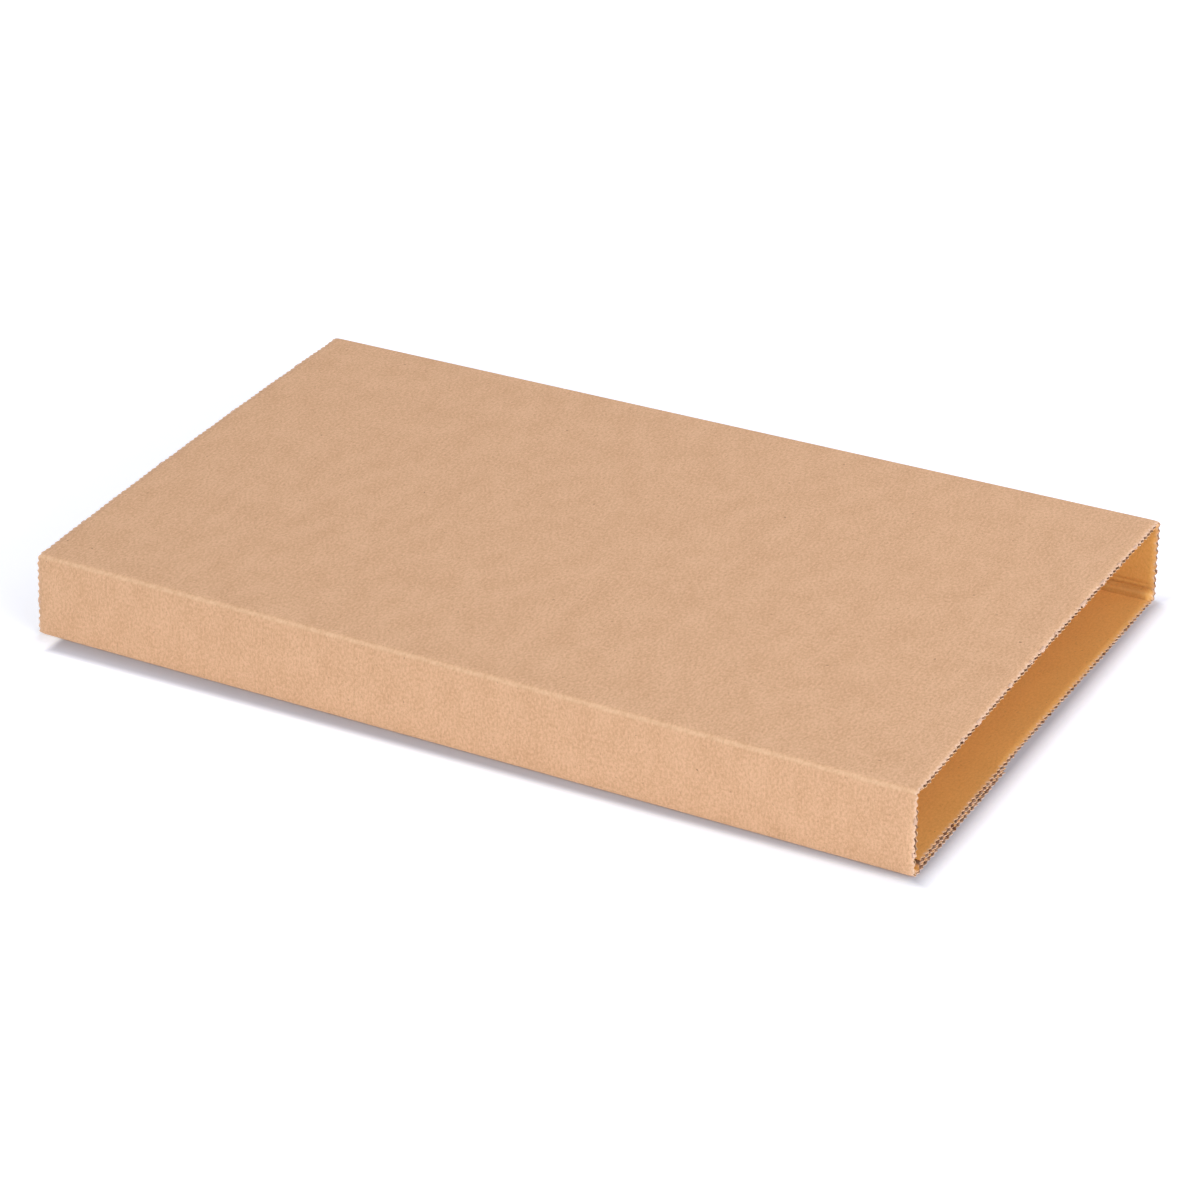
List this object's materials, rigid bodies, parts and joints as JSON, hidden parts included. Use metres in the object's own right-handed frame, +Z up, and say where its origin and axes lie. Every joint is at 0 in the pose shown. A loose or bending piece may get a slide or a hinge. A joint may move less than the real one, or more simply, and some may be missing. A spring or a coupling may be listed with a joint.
{
  "type": "corrugated board mailer sleeve",
  "caption": "Flat rectangular sleeve of fluted kraft board, open at both short ends, folded from one sheet and glued along a lap, to slide over a flat pack or book.",
  "frame": {"origin": "middle of the footprint, on the surface that the sleeve lies on", "axes": "+X along the flutes and the open tube, +Y across it from the lapped side to the plain side, +Z up through the top panel"},
  "size_m": [0.4408, 0.2444, 0.0397],
  "materials": {
    "kraft_board": "uncoated brown kraft liner, matte, finely mottled"
  },
  "bodies": {
    "root": {"sleeve": "kraft_board"}
  },
  "joints": []
}
